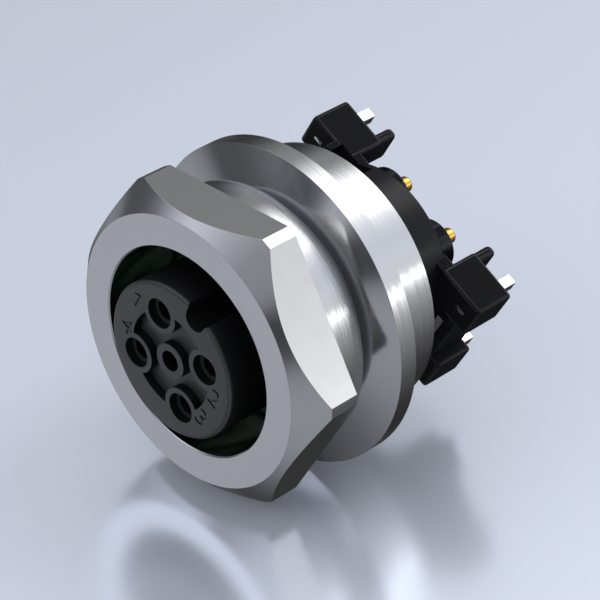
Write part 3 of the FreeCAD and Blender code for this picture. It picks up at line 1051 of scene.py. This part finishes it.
    def build(self, plastic: Material, walls: Material) -> None:
        """Makes the insert.

        Args:
            plastic: finish of its faces.
            walls: darker copy of the plastic for its walls and recesses, which is painted shade.
        """
        ahead = self.front - self.clear
        mouth = (ahead, self.front + self.recess_depth)
        entry = (ahead, self.front + self.entry_depth + 0.1)
        room = (self.front + self.entry_depth, self.back + self.clear)
        tools = [self.recess()]
        for place in OUTER_CONTACTS:
            tools.append(post(place, self.mouth_radius, mouth))
            tools.append(post(place, self.entry_radius, entry))
            tools.append(post(place, self.room_radius, room))
        tools.append(post(CENTRE, self.entry_radius, entry))
        tools.append(post(CENTRE, self.room_radius, room))
        tools.append(self.keyway())
        bm = combine(self.stem(), Operation.CUT, tools)
        engraving = [self.digit(*digit) for digit in self.digits] + [self.figure_one()]
        bm = combine(bm, Operation.CUT, engraving)
        turn_to_key(bm)
        floor = (self.front + self.recess_depth + 0.1) * MM
        # Walls along the axis and faces deeper than the recess floor take the darker copy of the
        # plastic, which is painted shade.
        for face in bm.faces:
            inside = abs(face.normal.y) < 0.6 or face.calc_center_median().y > floor
            face.material_index = int(inside)
        make_piece(
            "insert_moulding", bm, [plastic, walls], "insert", 35.0, weighted=True
        )


@dataclass
class RearCarrier:
    """Rear moulding: drum, collars round the tails, and four corner boxes with their ribs."""

    front: float = 0.55
    drum_radius: float = 4.75
    drum_end: float = 6.4
    drum_round: float = 0.12
    drum_steps: int = 160
    collar_radius: float = 1.4
    centre_collar_radius: float = 1.05
    collar_front: float = 5.0
    collar_end: float = 7.95
    tail_room: float = 0.65
    box_across: Span = (3.67, 6.66)
    box_along: Span = (1.5, 3.53)
    box_depth: Span = (5.7, 8.19)
    box_round: float = 0.2
    rib_across: Span = (3.69, 4.33)
    rib_depth: Span = (5.9, 9.3)
    rib_round: float = 0.26
    web_across: Span = (5.31, 5.95)
    web_overlap: float = 0.3
    shelf_across: Span = (3.9, 5.63)
    shelf_low: float = 0.97
    arm_across: Span = (2.0, 3.9)
    arm_top: float = 2.7
    arm_end: float = 7.25
    lip_across: Span = (3.06, 3.9)
    lip_end: float = 6.6
    finger_across: Span = (4.62, 4.97)
    finger_low: float = 2.87
    finger_front: float = 5.1
    notch_across: Span = (2.5, 4.62)
    notch_low: float = 2.92
    notch_depth: Span = (4.0, 6.0)
    pin_place: Span = (5.7, 2.62)
    pin_room: Span = (0.35, 0.34)
    tongue_room: Span = (0.3, 0.105)
    shoulder: float = 6.26
    small_round: float = 0.1
    thin_round: float = 0.06
    clear: float = 1.0
    # Joined solids stand this far inside each other's faces, so that no two share a plane.
    inset: float = 0.02
    web_inset: float = 0.03
    # Largest face of a rounded edge, in square millimetres.
    edge_area: float = 0.4

    def mirrored(
        self,
        side: int,
        level: int,
        across: Span,
        along: Span,
        depth: Span,
        rounding: float = 0.0,
    ) -> Mesh:
        """Makes a box on one side and level of the carrier.

        Args:
            side: 1 for the right, -1 for the left, across the key direction.
            level: 1 for the upper half, -1 for the lower one.
            across: its two ends across the key direction, for the right side.
            along: its two ends along the key direction, for the upper half.
            depth: its front and rear along the axis.
            rounding: width of its rounded edges.

        Returns:
            The box.
        """
        spans = [tuple(sorted((low * sign, high * sign)))
                 for (low, high), sign in ((across, side), (along, level))]
        return block(*spans, depth, rounding)

    def corner(self, side: int, level: int) -> list[Mesh]:
        """Makes the solids of one corner: the box, its rib, its arm and the arm's lip.

        Args:
            side: 1 for the right, -1 for the left.
            level: 1 for the upper corner, -1 for the lower one.

        Returns:
            The solids.
        """
        low, high = self.box_along
        front = self.box_depth[0]
        inset = self.inset
        rib_along = (low + inset, high - inset)
        arm_along = (low + inset, self.arm_top)
        arm_depth = (front + inset, self.arm_end)
        lip_along = (low + 2 * inset, high - inset)
        lip_depth = (front + 2 * inset, self.lip_end)
        parts = (
            (self.box_across, self.box_along, self.box_depth, self.box_round),
            (self.rib_across, rib_along, self.rib_depth, self.rib_round),
            (self.arm_across, arm_along, arm_depth, self.small_round),
            (self.lip_across, lip_along, lip_depth, self.small_round),
        )
        return [self.mirrored(side, level, *part) for part in parts]

    def between(self, side: int) -> list[Mesh]:
        """Makes the web and the shelf between two corners.

        Args:
            side: 1 for the right, -1 for the left.

        Returns:
            The two solids.
        """
        reach = self.box_along[0] + self.web_overlap
        front, rear = self.box_depth
        web_depth = (front + self.web_inset, rear - self.web_inset)
        shelf_depth = (front + 2 * self.web_inset, self.arm_end - self.web_inset)
        parts = (
            (self.web_across, (-reach, reach), web_depth, self.thin_round),
            (self.shelf_across, (self.shelf_low, reach), shelf_depth, self.thin_round),
        )
        return [self.mirrored(side, 1, *part) for part in parts]

    def pin_holes(self, side: int, level: int) -> list[Mesh]:
        """Makes the tools that open a box for its hold-down pin and the pin's tongue.

        Args:
            side: 1 for the right, -1 for the left.
            level: 1 for the upper corner, -1 for the lower one.

        Returns:
            The tools.
        """
        x, z = self.pin_place
        front, rear = self.box_depth
        rooms = (
            (self.pin_room, (self.shoulder, rear + self.clear)),
            (self.tongue_room, (front - self.clear, self.shoulder + 0.1)),
        )
        return [
            self.mirrored(side, level, (x - wide, x + wide), (z - tall, z + tall), depth)
            for (wide, tall), depth in rooms
        ]

    def finish_of(self, face: bmesh.types.BMFace) -> int:
        """Chooses the finish of a face: 0 for flat faces, 1 for the drum and rounded edges.

        Args:
            face: a face of the carrier, with the key direction along Z.

        Returns:
            The material's number.
        """
        centre = face.calc_center_median() / MM
        on_drum = abs(math.hypot(centre.x, centre.z) - self.drum_radius) < 0.05
        if on_drum and abs(face.normal.y) < 0.5:
            return 1
        slanted = max(abs(part) for part in face.normal) < 0.98
        return int(slanted and face.calc_area() < self.edge_area * MM * MM)

    def build(self, plastic: Material, edges: Material) -> None:
        """Makes the carrier.

        Args:
            plastic: finish of its faces.
            edges: finish of its drum and its rounded edges, which the mould leaves smoother.
        """
        drum_depth = (self.front, self.drum_end)
        collar_depth = (self.collar_front, self.collar_end)
        centre_depth = (self.collar_front, self.collar_end - 0.01)
        tail_depth = (self.front - self.clear, self.collar_end + self.clear)
        drum = post(CENTRE, self.drum_radius, drum_depth, self.drum_round, self.drum_steps)
        solids = []
        holes = []
        for place, (side, level) in zip(OUTER_CONTACTS, SIDES):
            solids.append(post(place, self.collar_radius, collar_depth, self.small_round))
            solids += self.corner(side, level)
            holes.append(post(place, self.tail_room, tail_depth))
            holes += self.pin_holes(side, level)
        solids.append(post(CENTRE, self.centre_collar_radius, centre_depth, self.small_round))
        solids += self.between(1) + self.between(-1)
        holes.append(post(CENTRE, self.tail_room, tail_depth))
        top = self.box_along[1]
        notch = self.mirrored(
            -1, 1, self.notch_across, (self.notch_low, top + 0.5), self.notch_depth
        )
        finger_along = (self.finger_low, top - 0.01)
        finger_depth = (self.finger_front, self.notch_depth[1] + 0.3)
        finger = self.mirrored(
            -1, 1, self.finger_across, finger_along, finger_depth, self.thin_round
        )
        bm = combine(drum, Operation.JOIN, solids)
        bm = combine(bm, Operation.CUT, [notch])
        bm = combine(bm, Operation.JOIN, [finger])
        bm = combine(bm, Operation.CUT, holes)
        bm.normal_update()
        for face in bm.faces:
            face.material_index = self.finish_of(face)
        turn_to_key(bm)
        make_piece(
            "rear_carrier_moulding",
            bm,
            [plastic, edges],
            "rear_carrier",
            40.0,
            weighted=True,
        )


@dataclass
class Contacts:
    """Five turned socket contacts, each with a barrel, a shank and a domed solder tail."""

    barrel_front: float = -6.0
    socket_radius: float = 0.5
    socket_floor: float = -0.8
    barrel_radius: float = 0.84
    barrel_end: float = 0.55
    shank_radius: float = 0.6
    shank_end: float = 7.95
    tail_radius: float = 0.42
    tail_end: float = 9.2
    tail_round: float = 0.15
    steps: int = 48

    def build(self, gold: Material) -> None:
        """Makes the contacts.

        Args:
            gold: their finish.
        """
        profile = [
            (self.socket_radius, self.barrel_front),
            (self.barrel_radius, self.barrel_front),
            (self.barrel_radius, self.barrel_end),
            (self.shank_radius, self.barrel_end),
            (self.shank_radius, self.shank_end),
            (self.tail_radius, self.shank_end),
            (self.tail_radius, self.tail_end),
            (0.0, self.tail_end),
            (0.0, self.socket_floor),
            (self.socket_radius, self.socket_floor),
        ]
        for number, (x, z) in enumerate([*OUTER_CONTACTS, CENTRE], start=1):
            bm = spin_profile(profile, self.steps)
            round_ring(bm, self.tail_radius, self.tail_end, self.tail_round, 4)
            bmesh.ops.translate(bm, verts=bm.verts[:], vec=(x * MM, 0.0, z * MM))
            turn_to_key(bm)
            name = "contact_%d" % number
            make_piece(name + "_turned", bm, [gold], name, 30.0, weighted=True)


@dataclass
class HoldDownPins:
    """Four square solder pins with a flat tongue at the front of each box."""

    place: Span = (5.7, 2.62)
    width: float = 0.6
    thickness: float = 0.64
    shoulder: float = 6.26
    rear: float = 9.46
    rounding: float = 0.05
    tongue_width: float = 0.56
    tongue_thickness: float = 0.17
    tongue_round: float = 0.02
    # How far the tongue runs into the shank.
    tongue_root: float = 0.2
    front: float = 5.66

    def build(self, tin: Material) -> None:
        """Makes the pins.

        Args:
            tin: their finish.
        """
        tongue_depth = (self.front, self.shoulder + self.tongue_root)
        parts = (
            (self.width, self.thickness, (self.shoulder, self.rear), self.rounding),
            (self.tongue_width, self.tongue_thickness, tongue_depth, self.tongue_round),
        )
        for corner, (side, level) in zip(CORNERS, SIDES):
            x, z = self.place[0] * side, self.place[1] * level
            shank, tongue = [
                block(
                    (x - wide / 2.0, x + wide / 2.0),
                    (z - tall / 2.0, z + tall / 2.0),
                    depth,
                    rounding,
                    segments=2,
                )
                for wide, tall, depth, rounding in parts
            ]
            bm = combine(shank, Operation.JOIN, [tongue])
            turn_to_key(bm)
            name = "hold_down_pin_" + corner
            make_piece(name + "_blade", bm, [tin], name, 40.0, weighted=True)


@dataclass
class GapSeal:
    """Smooth sealing ring in the gap between the insert's stem and the bore."""

    inner: float = 4.17
    outer: float = 5.47
    front: float = -2.85
    back: float = -1.55
    lip: float = 0.4
    steps: int = 192

    def build(self, rubber: Material) -> None:
        """Makes the ring.

        Args:
            rubber: its finish.
        """
        profile = [
            (self.inner, self.front),
            (self.outer, self.front),
            (self.outer, self.back),
            (self.inner, self.back),
        ]
        bm = spin_profile(profile, self.steps)
        for radius in (self.inner, self.outer):
            round_ring(bm, radius, self.front, self.lip, 6)
        make_piece("gap_seal_ring", bm, [rubber], "gap_seal", 40.0)


# Studio

@dataclass(frozen=True)
class SoftBox:
    """A soft box that lights the matt surfaces; its radiance is 1 where its face looks white."""

    name: str
    place: tuple[float, float, float]
    width: float
    height: float
    radiance: float


@dataclass
class Studio:
    """Pale floor, soft light and the camera of the photograph.

    Metal shows light by its direction. Round the connector's axis the soft boxes stand as long
    strips, so their levels are given by the angle round the axis from +X towards +Z, for
    directions behind the connector, ahead of it, and ahead and below.
    """

    floor_height: float = -8.545
    floor_half: float = 600.0
    floor_colour: str = "#A5A9B3"
    floor_gloss: Colour = (0.81, 0.86, 0.96)
    floor_roughness: float = 0.21
    sky_colour: str = "#F4F6FC"
    sky_level: float = 0.72
    backdrop_colour: str = "#C8CEDC"
    soft_boxes: tuple[SoftBox, ...] = (
        SoftBox("key_soft_box", (50.0, 165.0, 205.0), 160.0, 120.0, 3.0),
        SoftBox("front_soft_box", (-60.0, -260.0, 190.0), 220.0, 180.0, 1.5),
    )
    lens: float = 154.67
    sensor: float = 36.0
    camera_place: tuple[float, float, float] = (76.105, -75.661, 69.280)
    camera_forward: tuple[float, float, float] = (-0.59238, 0.59465, -0.54358)
    # Nearest and farthest that the camera sees, in metres.
    camera_reach: Span = (0.005, 5.0)

    # A ramp holds levels up to 1, so the levels are divided by this and multiplied again.
    level_scale: float = 4.0
    ahead_tint: Colour = (0.955, 0.99, 1.11)
    behind_tint: Colour = (0.985, 0.995, 1.03)
    # The large soft box at the upper right is cooler than the rest of the light.
    cool_tint: Colour = (0.97, 1.02, 1.14)
    cool_span: Span = (24.0, 64.0)
    # How far back a direction points where the light behind starts and where it is full.
    behind_from: Span = (-0.1, 0.5)
    # The same for how far it points ahead and below.
    front_from: Span = (0.38, 0.5)
    # Dark floor below, a bright tube low at the right, the large cool box, the bright overhead
    # strip, and a dim wall at the left.
    behind: Levels = (
        (-180, 0.04), (-160, 0.08), (-118, 0.06), (-95, 0.03), (-70, 0.05), (-45, 0.13),
        (-20, 0.34), (-6, 0.55), (3, 1.1), (7, 2.3), (11, 2.6), (14, 1.15), (17, 0.93),
        (30, 0.98), (44, 0.9), (56, 1.02), (66, 1.4), (75, 2.6), (97, 2.6), (107, 1.6),
        (117, 0.74), (126, 0.34), (141, 0.32), (155, 0.13), (168, 0.05), (180, 0.04),
    )
    # Grey floor below, a dark gap at the right, a grey wall, the soft box at the upper left.
    ahead: Levels = (
        (-180, 0.1), (-174, 0.31), (-168, 0.39), (-158, 0.37), (-150, 0.5), (-137, 0.57),
        (-128, 0.42), (-118, 0.1), (-105, 0.12), (-98, 0.16), (-82, 0.22), (-64, 0.31),
        (-43, 0.39), (-23, 0.43), (-12, 0.45), (-4, 0.3), (1, 0.12), (13, 0.11), (27, 0.27),
        (41, 0.4), (56, 0.37), (83, 0.37), (95, 0.46), (106, 0.57), (117, 0.7), (126, 0.86),
        (135, 0.86), (144, 0.64), (152, 0.41), (159, 0.215), (166, 0.13), (173, 0.105),
    )
    # The same low down: the wall falls dark, and the box at the upper left is narrow.
    front: Levels = (
        (-180, 0.105), (-177, 0.1), (-173, 0.13), (-169, 0.24), (-166, 0.36), (-160, 0.33),
        (-150, 0.5), (-137, 0.57), (-128, 0.42), (-119, 0.08), (-112, 0.09), (-105, 0.133),
        (-97, 0.173), (-88, 0.247), (-79, 0.325), (-68, 0.385), (-55, 0.41), (-40, 0.42),
        (-25, 0.38), (-15, 0.28), (-5, 0.12), (3, 0.08), (20, 0.06), (38, 0.07), (65, 0.08),
        (85, 0.12), (100, 0.36), (107, 0.5), (113, 0.68), (120, 0.68), (127, 0.3), (133, 0.105),
    )

    def level_ramp(
        self, tree: Tree, turn: Socket, levels: Levels, tint: Colour, cool_span: Span = CENTRE
    ) -> Socket:
        """Makes a ramp of light levels round the connector's axis.

        Args:
            tree: the node tree.
            turn: the angle round the axis as 0 to 1.
            levels: angle in degrees and level of each stop.
            tint: red, green and blue share of the light.
            cool_span: angles between which the light has the cooler tint.

        Returns:
            The level, divided by the scale of levels.
        """
        level_of = add_node(tree, "ValToRGB", links={0: turn}, output="Color")
        stops = level_of.node.color_ramp.elements
        while len(stops) < len(levels):
            stops.new(0.5)
        for stop, (degrees, level) in zip(stops, levels):
            stop.position = degrees / 360.0 + 0.5
            cool = cool_span[0] < degrees < cool_span[1]
            shares = self.cool_tint if cool else tint
            stop.color = (*[level / self.level_scale * share for share in shares], 1.0)
        return level_of

    def light_by_direction(self, tree: Tree, direction: Socket) -> Socket:
        """Makes the light level that a mirror would show in each direction.

        Args:
            tree: the node tree.
            direction: the direction, of length 1.

        Returns:
            The level, where 1 is white.
        """
        parts = add_node(tree, "SeparateXYZ", links={0: direction}).node.outputs
        angle = add_node(tree, "Math", {"operation": "ARCTAN2"}, {0: parts["Z"], 1: parts["X"]})
        turn = add_node(
            tree, "Math", {"operation": "MULTIPLY_ADD", 1: 1.0 / FULL_TURN, 2: 0.5}, {0: angle}
        )
        below = add_node(
            tree,
            "VectorMath",
            {"operation": "DOT_PRODUCT", 1: (0.0, -1.0, -1.0)},
            {0: direction},
            "Value",
        )
        back_share, front_share = [
            add_node(tree, "MapRange", {
                "interpolation_type": "SMOOTHSTEP",
                "From Min": low,
                "From Max": high,
            }, {"Value": source})
            for (low, high), source in ((self.behind_from, parts["Y"]), (self.front_from, below))
        ]
        ahead = self.level_ramp(tree, turn, self.ahead, self.ahead_tint)
        front = self.level_ramp(tree, turn, self.front, self.ahead_tint)
        behind = self.level_ramp(tree, turn, self.behind, self.behind_tint, self.cool_span)
        forward = add_node(
            tree, "Mix", {"data_type": "RGBA"}, {0: front_share, 6: ahead, 7: front}, 2
        )
        mixed = add_node(
            tree, "Mix", {"data_type": "RGBA"}, {0: back_share, 6: forward, 7: behind}, 2
        )
        return add_node(
            tree, "VectorMath", {"operation": "SCALE", "Scale": self.level_scale}, {0: mixed}
        )

    def build_floor(self) -> None:
        """Makes the pale polished floor, which takes the connector's shadow and mirror image."""
        bm = bmesh.new()
        bmesh.ops.create_grid(bm, x_segments=1, y_segments=1, size=self.floor_half * MM)
        bmesh.ops.translate(bm, verts=bm.verts[:], vec=(0.0, 0.0, self.floor_height * MM))
        floor = mesh_object("studio_floor", bm)
        material, tree = new_material("painted_studio_floor")
        matt = add_node(tree, "BsdfDiffuse", {"Color": linear(self.floor_colour)})
        gloss = add_node(tree, "BsdfGlossy", {
            "Color": (*self.floor_gloss, 1.0),
            "Roughness": self.floor_roughness,
        })
        painted = add_node(tree, "AddShader", links={0: matt, 1: gloss})
        add_node(tree, "OutputMaterial", links={"Surface": painted})
        floor.data.materials.append(material)
        # Metal shows the pale studio by direction instead of this near patch of floor.
        floor.visible_glossy = False

    def build_world(self) -> None:
        """Makes the soft world: even for matt surfaces, in strips for metal, pale when seen."""
        world = bpy.data.worlds.new("studio_world")
        world.use_nodes = True
        tree = world.node_tree
        tree.nodes.clear()
        direction = add_node(tree, "TexCoord", output="Generated")
        level = self.light_by_direction(tree, direction)
        strips = add_node(tree, "Background", {"Strength": 1.0}, {"Color": level})
        sky = add_node(
            tree, "Background", {"Color": linear(self.sky_colour), "Strength": self.sky_level}
        )
        seen = add_node(
            tree, "Background", {"Color": linear(self.backdrop_colour), "Strength": 1.0}
        )
        ray = add_node(tree, "LightPath").node.outputs
        by_surface = add_node(
            tree, "MixShader", links={0: ray["Is Glossy Ray"], 1: sky, 2: strips}
        )
        shader = add_node(
            tree, "MixShader", links={0: ray["Is Camera Ray"], 1: by_surface, 2: seen}
        )
        add_node(tree, "OutputWorld", links={"Surface": shader})
        bpy.context.scene.world = world

    def build_soft_box(self, box: SoftBox) -> None:
        """Places a soft box that looks at the connector, and that metal doesn't show.

        Args:
            box: its place, size and brightness.
        """
        lamp = bpy.data.lights.new(box.name, "AREA")
        lamp.shape = "RECTANGLE"
        lamp.size = box.width * MM
        lamp.size_y = box.height * MM
        lamp.energy = box.radiance * math.pi * lamp.size * lamp.size_y
        holder = bpy.data.objects.new(box.name, lamp)
        bpy.context.scene.collection.objects.link(holder)
        holder.location = Vector(box.place) * MM
        holder.rotation_mode = "QUATERNION"
        holder.rotation_quaternion = (-Vector(box.place)).to_track_quat("-Z", "Y")
        holder.visible_glossy = False

    def build_camera(self) -> None:
        """Places the camera where the photograph was taken from."""
        data = bpy.data.cameras.new("photo_camera")
        data.lens = self.lens
        data.sensor_width = self.sensor
        data.sensor_fit = "AUTO"
        data.clip_start, data.clip_end = self.camera_reach
        camera = bpy.data.objects.new("photo_camera", data)
        bpy.context.scene.collection.objects.link(camera)
        camera.location = Vector(self.camera_place) * MM
        camera.rotation_mode = "QUATERNION"
        camera.rotation_quaternion = Vector(self.camera_forward).to_track_quat("-Z", "Y")
        bpy.context.scene.camera = camera

    def build(self) -> None:
        """Makes the whole studio."""
        self.build_floor()
        self.build_world()
        for box in self.soft_boxes:
            self.build_soft_box(box)
        self.build_camera()
        bpy.context.scene.view_settings.view_transform = "Standard"
        LOG.info("made the studio")


def main() -> None:
    """Builds the studio and every piece of the connector."""
    logging.basicConfig(level=logging.INFO, format="%(name)s: %(message)s")
    Studio().build()
    Housing().build({
        HousingFinish.HEAD: HEAD_NICKEL,
        HousingFinish.LATHE: LATHE_NICKEL,
        HousingFinish.FLANGE: FLANGE_NICKEL,
        HousingFinish.GROOVE: GROOVE_NICKEL_PAINTED_SHADE,
    })
    Insert().build(INSERT_PLASTIC.build(), WALL_PLASTIC_PAINTED_SHADE.build())
    RearCarrier().build(CARRIER_PLASTIC.build(), EDGE_PLASTIC.build())
    Contacts().build(CONTACT_GOLD.build())
    HoldDownPins().build(PIN_TIN.build())
    GapSeal().build(SEAL_RUBBER.build())
    dress_node("lock_ring", BARE_BRASS.build())


if __name__ == "__main__":
    main()
